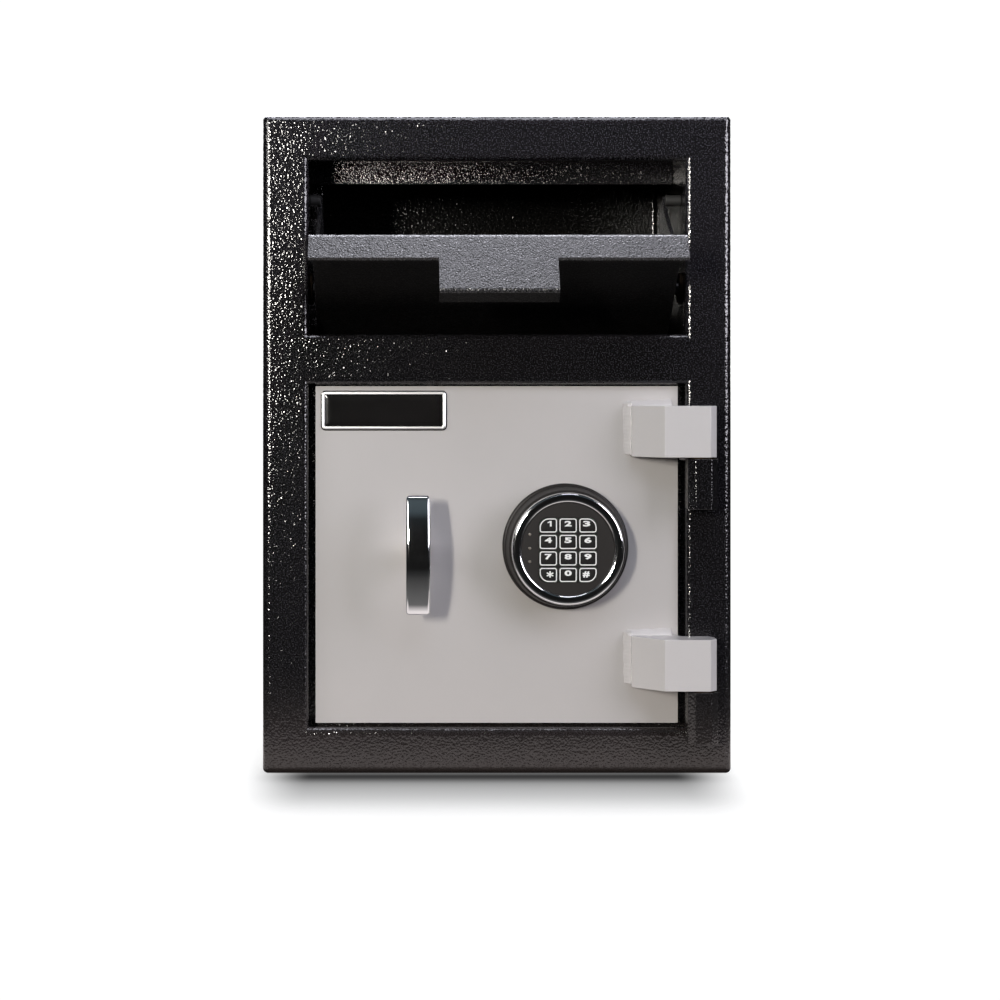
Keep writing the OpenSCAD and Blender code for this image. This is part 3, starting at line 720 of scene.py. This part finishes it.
def corner_welds():
    """Smooth painted fillets where the rear plate meets the chamber's walls."""
    bm = bmesh.new()
    r, y = 3.6, 8.8
    for s in (-1, 1):
        x = 144.0 * s
        prof = [(x + 0.3 * s, y + 0.3)]
        prof += [(x - s * (r - r * math.cos(math.radians(q))),
                  y - r + r * math.sin(math.radians(q))) for q in range(0, 91, 9)]
        if s < 0:
            prof.reverse()
        rings = []
        for i in range(67):
            z = 301.0 + 198.5 * i / 66
            k = 1 + 0.10 * math.sin(i * 1.9) + 0.06 * math.sin(i * 0.53)
            rings.append([((x + (px - x) * k) * MM, (y + (py - y) * k) * MM, z * MM)
                          for px, py in prof])
        loft(bm, rings)
    made("chamber_corner_fillets", bm, M["chamber_paint_shaded"], "cabinet",
         sharp=50, weighted=False)


corner_welds()
bar = refined("chamber_crossbar", "chamber_roof_bar", "cabinet", 0.8, 3)
only_bar = bpy.data.collections.new("lit_by_bar_spot")
only_bar.objects.link(bar)
bar_light.light_linking.receiver_collection = only_bar
refined("divider_shelf", "chamber_floor_shelf", "cabinet", 0.5, 3)
refined("frame_knuckles", "cabinet_knuckles", "cabinet", 0.9, 3)
refined("pivot_bushings", "hopper_bushes", "cabinet", 0.25)
refined("hopper_bumpers", "hopper_stops", "cabinet", 0.6, 3)
refined("hinge_washers", "hinge_shims", "cabinet", 0.15)
refined("hinge_pins", "hinge_spindles", "cabinet", 0.5, 3)

# ---------------------------------------------------------------- hopper
PV = (-2.0, -151.0, 372.0)
TILT = math.radians(55)


def swung(x, y, z):
    c, s = math.cos(TILT), math.sin(TILT)
    return Vector(((PV[0] + x) * MM, (PV[1] + y * c - z * s) * MM,
                   (PV[2] + y * s + z * c) * MM))


def hopper_front():
    """One bent sheet, front, flange, pull tab and lip, as rows along its outer face."""
    t = 3.2
    path = [(-20.8, -29.0), (-20.8, 20.0), (-20.8, 70.0)]
    path += arc2(-25.8, 88.3, 5.0, 0, 90, 14)
    path += [(-36.0, 93.3), (-44.9, 93.3), (-58.0, 93.3)]
    path += arc2(-72.6, 90.7, 2.6, 90, 180, 14)
    path += [(-75.2, 85.0), (-75.2, 79.7)]
    inner = [(-24.0, -29.0), (-24.0, 20.0), (-24.0, 70.0)]
    inner += arc2(-25.8, 88.3, 1.8, 0, 90, 14)
    inner += [(-36.0, 90.1), (-44.9, 90.1), (-58.0, 90.1)]
    inner += [(-71.4 - 0.6 * (1 - math.cos(math.radians(90 * q / 14))),
               89.5 + 0.6 * (1 - math.sin(math.radians(90 * q / 14))))
              for q in range(15)]
    inner += [(-72.0, 85.0), (-72.0, 79.7)]
    xs = [-138.5, -136.5, -60.0, -43.2, 0.0, 43.2, 60.0, 136.5, 138.5]
    wide_from = 7
    flange_end = 3 + 14 + 2

    def there(i, j):
        a = max(abs(xs[j]), abs(xs[j + 1]))
        if a <= 43.3:
            return True
        if a <= 136.6:
            return i < flange_end
        return wide_from <= i < flange_end

    bm = bmesh.new()
    # these rows, the front face and the lip, take the darker copy of the paint: painted
    # shade
    thin = set(range(8)) | {len(path) - 3, len(path) - 2}
    grid = {}

    def vert(i, j, side):
        k = (i, j, side)
        if k not in grid:
            p = (path if side else inner)[i]
            grid[k] = bm.verts.new(swung(xs[j], p[0], p[1]))
        return grid[k]

    rows, cols = len(path) - 1, len(xs) - 1
    for i in range(rows):
        for j in range(cols):
            if not there(i, j):
                continue
            sheet = [bm.faces.new([vert(a, b, 1) for a, b in
                                   ((i, j), (i, j + 1), (i + 1, j + 1), (i + 1, j))]),
                     bm.faces.new([vert(a, b, 0) for a, b in
                                   ((i + 1, j), (i + 1, j + 1), (i, j + 1), (i, j))])]
            for f in sheet:
                f.material_index = 1 if i in thin else 0
            for di, dj, a, b in ((-1, 0, (i, j), (i, j + 1)),
                                 (1, 0, (i + 1, j + 1), (i + 1, j)),
                                 (0, -1, (i + 1, j), (i, j)),
                                 (0, 1, (i, j + 1), (i + 1, j + 1))):
                u, w = i + di, j + dj
                if 0 <= u < rows and 0 <= w < cols and there(u, w):
                    continue
                f = bm.faces.new([vert(*b, 1), vert(*a, 1), vert(*a, 0), vert(*b, 0)])
                f.material_index = 1 if i in thin else 0
    bmesh.ops.recalc_face_normals(bm, faces=bm.faces)
    edges = [e for e in bm.edges if len(e.link_faces) == 2
             and e.calc_face_angle() > math.radians(60)]
    bmesh.ops.bevel(bm, geom=edges, offset=0.55 * MM, offset_type="OFFSET",
                    segments=3, profile=0.5, affect="EDGES", clamp_overlap=True)
    return made("hopper_front_sheet", bm, [M["hopper_paint"], M["hopper_paint_shaded"]],
                "hopper", ["hopper_panel"], sharp=50)


hopper_front()
refined("hopper_side_left", "hopper_cheek_left", "hopper", 0.5, 3)
refined("hopper_side_right", "hopper_cheek_right", "hopper", 0.5, 3)
refined("hopper_floor", "hopper_tray", "hopper", 0.5, 3)
refined("hopper_pivot_pins", "hopper_pins", "hopper", 0.4)

# ---------------------------------------------------------------- door
DYF = -0.170
refined("door_plate", "door_slab", "door", 0.9, 4)
refined("hinge_straps", "door_straps", "door", 1.2, 4)


def fillet(bm, a, b, out, leg0, leg1, rise, seed, taper_end=False):
    """A painted fillet weld from a to b (mm). It runs out from the strap by a leg
    that changes from leg0 to leg1, and up the strap by rise."""
    rnd = random.Random(seed)
    a, b, out = Vector(a), Vector(b), Vector(out)
    length = (b - a).length
    d = (b - a).normalized()
    up = Vector((0, -1, 0))
    n = int(length / 0.4)
    ph = [rnd.uniform(0, 6.28) for _ in range(4)]
    rings = []
    for i in range(n + 1):
        t = i / n
        q = t * length
        wob = 1 + 0.010 * math.sin(q * 2.3 + ph[0]) + 0.045 * math.sin(q * 0.5 + ph[1])
        leg = (leg0 + (leg1 - leg0) * t) * wob
        hgt = rise * (1 + 0.02 * math.sin(q * 0.8 + ph[2]))
        end = 1.0
        if q < 1.6:
            end = math.sqrt(max(0.02, 1 - (1 - q / 1.6) ** 2))
        if taper_end and length - q < 1.2:
            end = math.sqrt(max(0.02, 1 - (1 - (length - q) / 1.2) ** 2))
        bulge = 0.45 + 0.03 * math.sin(q * 1.7 + ph[3])
        base = a + d * q
        pts = [(-0.6, -0.4), (-0.6, hgt * end)]
        for k in range(13):
            u = k / 12
            x = leg * u
            z = hgt * (1 - u) + bulge * math.sin(math.pi * u)
            pts.append((x * end, z * end))
        pts += [((leg + 0.28) * end, 0.22 * end), ((leg + 0.42) * end, -0.05),
                ((leg + 0.2) * end, -0.4)]
        rings.append([tuple((base + out * x + up * z) * MM) for x, z in pts])
    loft(bm, rings)


bm = bmesh.new()
for i, z0 in enumerate((242.2, 66.8)):
    top = z0 + 38.8
    fillet(bm, (102.4, -170.0, top + 3.2), (102.4, -170.0, z0 + 0.9), (-1, 0, 0),
           5.6, 4.6, 5.0, 11 + i, taper_end=True)
    fillet(bm, (99.0, -170.0, top), (133.6, -170.0, top), (0, 0, 1),
           3.6, 4.9, 5.2, 21 + i)
nub = []
for k in range(13):
    q = k / 12
    r = 1.9 * math.sqrt(max(0.05, 1 - abs(2 * q - 1) ** 4))
    nub.append([((137.4 + 6.4 * q) * MM, (-185.0 + r * math.cos(c)) * MM,
                 (241.9 + 1.1 * r * math.sin(c)) * MM)
                for c in [2 * math.pi * j / 16 for j in range(16)]])
loft(bm, nub)
made("strap_beads", bm, M["hinge_paint"], "door", ["strap_welds"],
     sharp=60, weighted=False)


def nameplate():
    x0, x1, z0, z1 = -134.7, -38.0, 262.0, 292.6
    cx, cz, w, h = (x0 + x1) / 2, (z0 + z1) / 2, x1 - x0, z1 - z0
    prof = [(0.0, 0.0, 0), (0.0, 0.45, 0), (0.18, 0.72, 0), (0.5, 0.86, 0),
            (1.0, 0.90, 0), (1.2, 0.92, 1), (1.35, 1.06, 1), (1.65, 1.15, 1),
            (2.2, 1.20, 1), (2.75, 1.15, 1), (3.0, 1.04, 1), (3.05, 0.42, 0),
            (3.5, 0.62, 0), (4.1, 0.80, 0), (4.9, 0.96, 0), (5.9, 1.08, 0),
            (7.2, 1.16, 0), (9.0, 1.20, 0)]
    bm = bmesh.new()
    rings = []
    for inset, up, _ in prof:
        pts = corner_rect(w - 2 * inset, h - 2 * inset,
                          (max(3.6 - inset, 0.9 if inset < 3.3 else 1.1),) * 4,
                          0.0, 8)
        rings.append([((cx + x) * MM, DYF - up * MM, (cz + z) * MM) for x, z in pts])
    faces = loft(bm, rings)
    k = len(rings[0])
    for q in range(len(prof) - 1):
        for f in faces[q * k:(q + 1) * k]:
            f.material_index = 1 if prof[q][2] or prof[q + 1][2] else 0
    made("blank_nameplate", bm, [M["nameplate"], M["plate_trim"]], "door",
         ["nameplate_blank"], sharp=40)


nameplate()

# ---------------------------------------------------------------- keypad
KX, KZ = 0.0525, 0.1733
bm = bmesh.new()
base = [(5, 0), (48.2, 0), (48.2, 3.3), (48.05, 4.0), (47.6, 4.5), (47.1, 4.75),
        (46.5, 4.9), (46.15, 5.2), (46.05, 5.8), (45.95, 6.6)]
base += [(45.8, 9.0), (44.9, 17.0), (44.45, 20.5)]
base += [(44.3, 22.0), (44.0, 23.2), (43.5, 24.2), (42.9, 24.8), (42.3, 25.0)]
base += [(39, 25), (39, 20.6), (41, 20.6), (41, 2), (5, 2)]
spun(bm, base, KX, KZ, DYF, 180)
made("keypad_housing", bm, M["keypad_black"], "door",
     ["keypad_base"], sharp=32)

bm = bmesh.new()
ring = [(34.9, 25.0), (42.5, 25.0)]
for q in range(41):
    t = math.radians(180 * q / 40)
    c, e = math.cos(t), math.sin(t)
    ring.append((38.7 + 3.8 * math.copysign(abs(c) ** 0.72, c),
                 26.2 + 3.7 * abs(e) ** 0.72))
spun(bm, ring, KX, KZ, DYF, 224)
made("keypad_bezel", bm, M["chrome_trim"], "door",
     ["keypad_ring"], sharp=40)

bm = bmesh.new()
for dz in (11.0, 0.5, -9.5):
    prof = [(1.1, 25.0), (1.1, 28.0)] + [(1.1 * math.cos(a), 28.0 + 0.32 * math.sin(a))
                                         for a in [0.3, 0.6, 0.9, 1.2, 1.45]]
    solid_spun(bm, prof, KX - 0.0287, KZ + dz * MM, DYF, 24)
made("signal_lamps", bm, M["led_lens"], "door", ["status_leds"])


def glyph(text, width, height, bold):
    """One printed character as a thin mesh about the origin, in metres."""
    cu = bpy.data.curves.new("legend", "FONT")
    cu.body = text
    cu.size = 1.0
    cu.offset = bold
    cu.extrude = 0.5
    cu.resolution_u = 5
    ob = bpy.data.objects.new("legend", cu)
    scene.collection.objects.link(ob)
    dg = bpy.context.evaluated_depsgraph_get()
    me = bpy.data.meshes.new_from_object(ob.evaluated_get(dg))
    bpy.data.objects.remove(ob)
    bpy.data.curves.remove(cu)
    xs = [v.co.x for v in me.vertices]
    ys = [v.co.y for v in me.vertices]
    sx = width * MM / (max(xs) - min(xs))
    sy = height * MM / (max(ys) - min(ys))
    mx, my = (max(xs) + min(xs)) / 2, (max(ys) + min(ys)) / 2
    for v in me.vertices:
        v.co = ((v.co.x - mx) * sx, v.co.z * 0.00008, (v.co.y - my) * sy)
    return me


def star(width, height):
    """A six-armed star as a thin mesh about the origin, in metres."""
    t = 0.19
    pts = []
    for k in range(6):
        a = math.radians(60 * k + 30)
        c, s = math.cos(a), math.sin(a)
        pts += [(c + t * s, s - t * c), (c - t * s, s + t * c)]
        b = a + math.radians(30)
        pts.append((2 * t * math.cos(b), 2 * t * math.sin(b)))
    mx = max(x for x, _ in pts)
    my = max(y for _, y in pts)
    bm = bmesh.new()
    loft(bm, [[(x / mx * width * MM / 2, y, z / my * height * MM / 2)
               for x, z in pts] for y in (0.00004, -0.00004)])
    me = bpy.data.meshes.new("star")
    bm.to_mesh(me)
    bm.free()
    return me


def one(width, height):
    """A bold one without a foot, as a thin mesh about the origin, in metres."""
    pts = [(1.00, -1.0), (0.12, -1.0), (0.12, 0.42), (-1.00, 0.20), (-1.00, 0.58),
           (-0.25, 0.74), (0.10, 1.0), (1.00, 1.0)]
    bm = bmesh.new()
    loft(bm, [[(x * width * MM / 2, y, z * height * MM / 2) for x, z in pts]
              for y in (0.00004, -0.00004)])
    me = bpy.data.meshes.new("one")
    bm.to_mesh(me)
    bm.free()
    return me


KEY_NAME = {"*": "star", "#": "hash"}
for place, mark in enumerate("123456789*0#"):
    i, j = place % 3, place // 3
    kx, kz = (i - 1) * 14.9, 17.8 - 12.4 * j
    w, h = 13.6, 11.2
    radii = [2.2] * 4
    if (i, j) == (0, 0):
        radii[1] = 7.2
    if (i, j) == (2, 0):
        radii[0] = 7.2
    if (i, j) == (0, 3):
        radii[2] = 7.2
    if (i, j) == (2, 3):
        radii[3] = 7.2

    def at(pts, up, kx=kx, kz=kz):
        return [(KX + (kx + x) * MM, DYF - up * MM, KZ + (kz + z) * MM)
                for x, z in pts]

    bm = bmesh.new()
    stem = [(3 * math.cos(2 * math.pi * q / 32), 3 * math.sin(2 * math.pi * q / 32))
            for q in range(32)]
    loft(bm, [at(stem, 22.0), at(stem, 26.1)])
    loft(bm, [at(corner_rect(w, h, radii, 0.1), 26.0),
              at(corner_rect(w, h, radii, 0.0), 26.2),
              at(corner_rect(w, h, radii, 0.0), 28.62),
              at(corner_rect(w, h, radii, 0.08), 28.82),
              at(corner_rect(w, h, radii, 0.26), 28.95),
              at(corner_rect(w, h, radii, 0.42), 28.97)])
    # the printed border, a thin raised band inside the cap's edge
    loft(bm, [at(corner_rect(w, h, radii, 0.30), 28.88),
              at(corner_rect(w, h, radii, 0.30), 29.0),
              at(corner_rect(w, h, radii, 1.10), 29.0),
              at(corner_rect(w, h, radii, 1.10), 28.88)],
         closed=True, mat=1)
    gx = {0: 1.3, 2: -1.3}.get(i, 0.0) if j in (0, 3) else 0.0
    if j == 0 and i != 1:
        gx *= 0.75
    gz = 0.4 if mark in "*#" else 1.35
    wide = {"1": 3.1, "*": 5.4, "#": 5.3}.get(mark, 5.4)
    tall = {"*": 4.8, "#": 4.7}.get(mark, 4.2)
    if mark == "*":
        me = star(wide, tall)
    elif mark == "1":
        me = one(wide, tall)
    else:
        me = glyph(mark, wide, tall, 0.045)
    g = bmesh.new()
    g.from_mesh(me)
    bpy.data.meshes.remove(me)
    bmesh.ops.remove_doubles(g, verts=g.verts, dist=1e-7)
    flaps = {f for e in g.edges if len(e.link_faces) == 1 for f in e.link_faces}
    bmesh.ops.delete(g, geom=list(flaps), context="FACES")
    bmesh.ops.translate(g, verts=g.verts,
                        vec=(KX + (kx + gx) * MM, DYF - 28.97 * MM,
                             KZ + (kz + gz) * MM))
    for f in g.faces:
        f.material_index = 1
    tmp = bpy.data.meshes.new("legend")
    g.to_mesh(tmp)
    g.free()
    bm.from_mesh(tmp)
    bpy.data.meshes.remove(tmp)
    tag = KEY_NAME.get(mark, mark)
    made("key_cap_" + tag, bm, [M["key_plastic"], M["legend"]], "button_" + tag,
         ["key_" + tag], sharp=30, weighted=False)

# ---------------------------------------------------------------- handle
HX, HZ = -0.0603, 0.169


def handle():
    R, half, rho, r, Y0 = 92.5, 9.2, 3.5, 2.5, -119.0
    phi = math.asin((45.0 - rho) / R)
    n_arc, n_end = 40, 12

    def ring(x, k):
        pts = []
        for q in range(n_arc + 1):
            a = -phi + 2 * phi * q / n_arc
            pts.append((-(R + k) * math.cos(a), (R + k) * math.sin(a)))
        for q in range(1, n_end):
            b = math.pi * q / n_end
            c = (-R * math.cos(phi), R * math.sin(phi))
            u = (-math.cos(phi), math.sin(phi))
            v = (math.sin(phi), math.cos(phi))
            pts.append((c[0] + k * (u[0] * math.cos(b) + v[0] * math.sin(b)),
                        c[1] + k * (u[1] * math.cos(b) + v[1] * math.sin(b))))
        for q in range(n_arc + 1):
            a = phi - 2 * phi * q / n_arc
            pts.append((-(R - k) * math.cos(a), (R - k) * math.sin(a)))
        for q in range(1, n_end):
            b = math.pi * q / n_end
            c = (-R * math.cos(phi), -R * math.sin(phi))
            u = (math.cos(phi), math.sin(phi))
            v = (math.sin(phi), -math.cos(phi))
            pts.append((c[0] + k * (u[0] * math.cos(b) + v[0] * math.sin(b)),
                        c[1] + k * (u[1] * math.cos(b) + v[1] * math.sin(b))))
        return [(HX + x * MM, (Y0 + y) * MM, HZ + z * MM) for y, z in pts]

    rings = []
    steps = [90 * q / 9 for q in range(10)]
    for a in steps:
        s, c = math.sin(math.radians(a)), math.cos(math.radians(a))
        rings.append(ring(-(half - r) - r * c, rho - r + r * s))
    rings.append(ring(-3.0, rho + 0.06))
    rings.append(ring(3.0, rho + 0.06))
    for a in reversed(steps):
        s, c = math.sin(math.radians(a)), math.cos(math.radians(a))
        rings.append(ring((half - r) + r * c, rho - r + r * s))
    bm = bmesh.new()
    loft(bm, rings)
    # stem from the bar down to the bushing
    prof = [(8.6, 1.3), (8.9, 1.5), (8.9, 2.4), (8.5, 2.9), (8.2, 3.4), (8.2, 34.0),
            (8.5, 36.0), (9.0, 38.2)]
    solid_spun(bm, prof, HX, HZ, DYF, 72)
    made("turn_handle", bm, M["chrome_trim"], "handle",
         ["handle_bar"], sharp=40)


handle()
refined("handle_bushing", "handle_bush", "door", 0.3)
refined("drive_arm", "crank", "handle", 0.4)
refined("carriage_bar", "bolt_yoke", "bolt_carriage", 0.5)
refined("door_bolts", "locking_bolts", "bolt_carriage", 0.4, 3)
refined("bolt_guides", "bolt_slides", "door", 0.5)
refined("dead_bar", "hinge_side_bar", "door", 0.8, 3)
refined("boltwork_cover", "rear_cover", "door", 0.7, 3)
refined("lock_case", "lock_body", "door", 0.6)
refined("lock_cover", "lock_lid", "door", 0.4)
refined("lock_bolt", "latch", "lock_slide", 0.7, 3)
refined("keypad_battery", "battery", "door", 0.9, 3)


def cover_screws():
    """Pan heads with a cross recess on the rear cover."""
    bm = bmesh.new()
    yb = -157.3
    for x in (-90, 82):
        for z in (55, 279):
            n = 48
            rings = []
            for r, up in ((2.0, -7.0), (2.0, 1.5), (3.8, 1.5), (3.8, 2.4),
                          (3.6, 3.1), (3.1, 3.6), (2.4, 3.9), (1.9, 4.0)):
                rings.append([((x + r * math.cos(2 * math.pi * i / n)) * MM,
                               (yb + up) * MM,
                               (z + r * math.sin(2 * math.pi * i / n)) * MM)
                              for i in range(n)])
            for grow, up in ((1.0, 4.0), (0.85, 2.6), (0.5, 2.2)):
                ring = []
                for i in range(n):
                    a = 2 * math.pi * i / n + math.radians(20)
                    k = abs(math.cos(2 * a)) ** 6
                    r = (0.55 + 1.3 * k) * grow
                    b = 2 * math.pi * i / n
                    ring.append(((x + r * math.cos(b)) * MM, (yb + up) * MM,
                                 (z + r * math.sin(b)) * MM))
                rings.append(ring)
            loft(bm, rings)
    made("cover_fixings", bm, M["bright_steel"], "door",
         ["cover_screws"], sharp=40)


cover_screws()
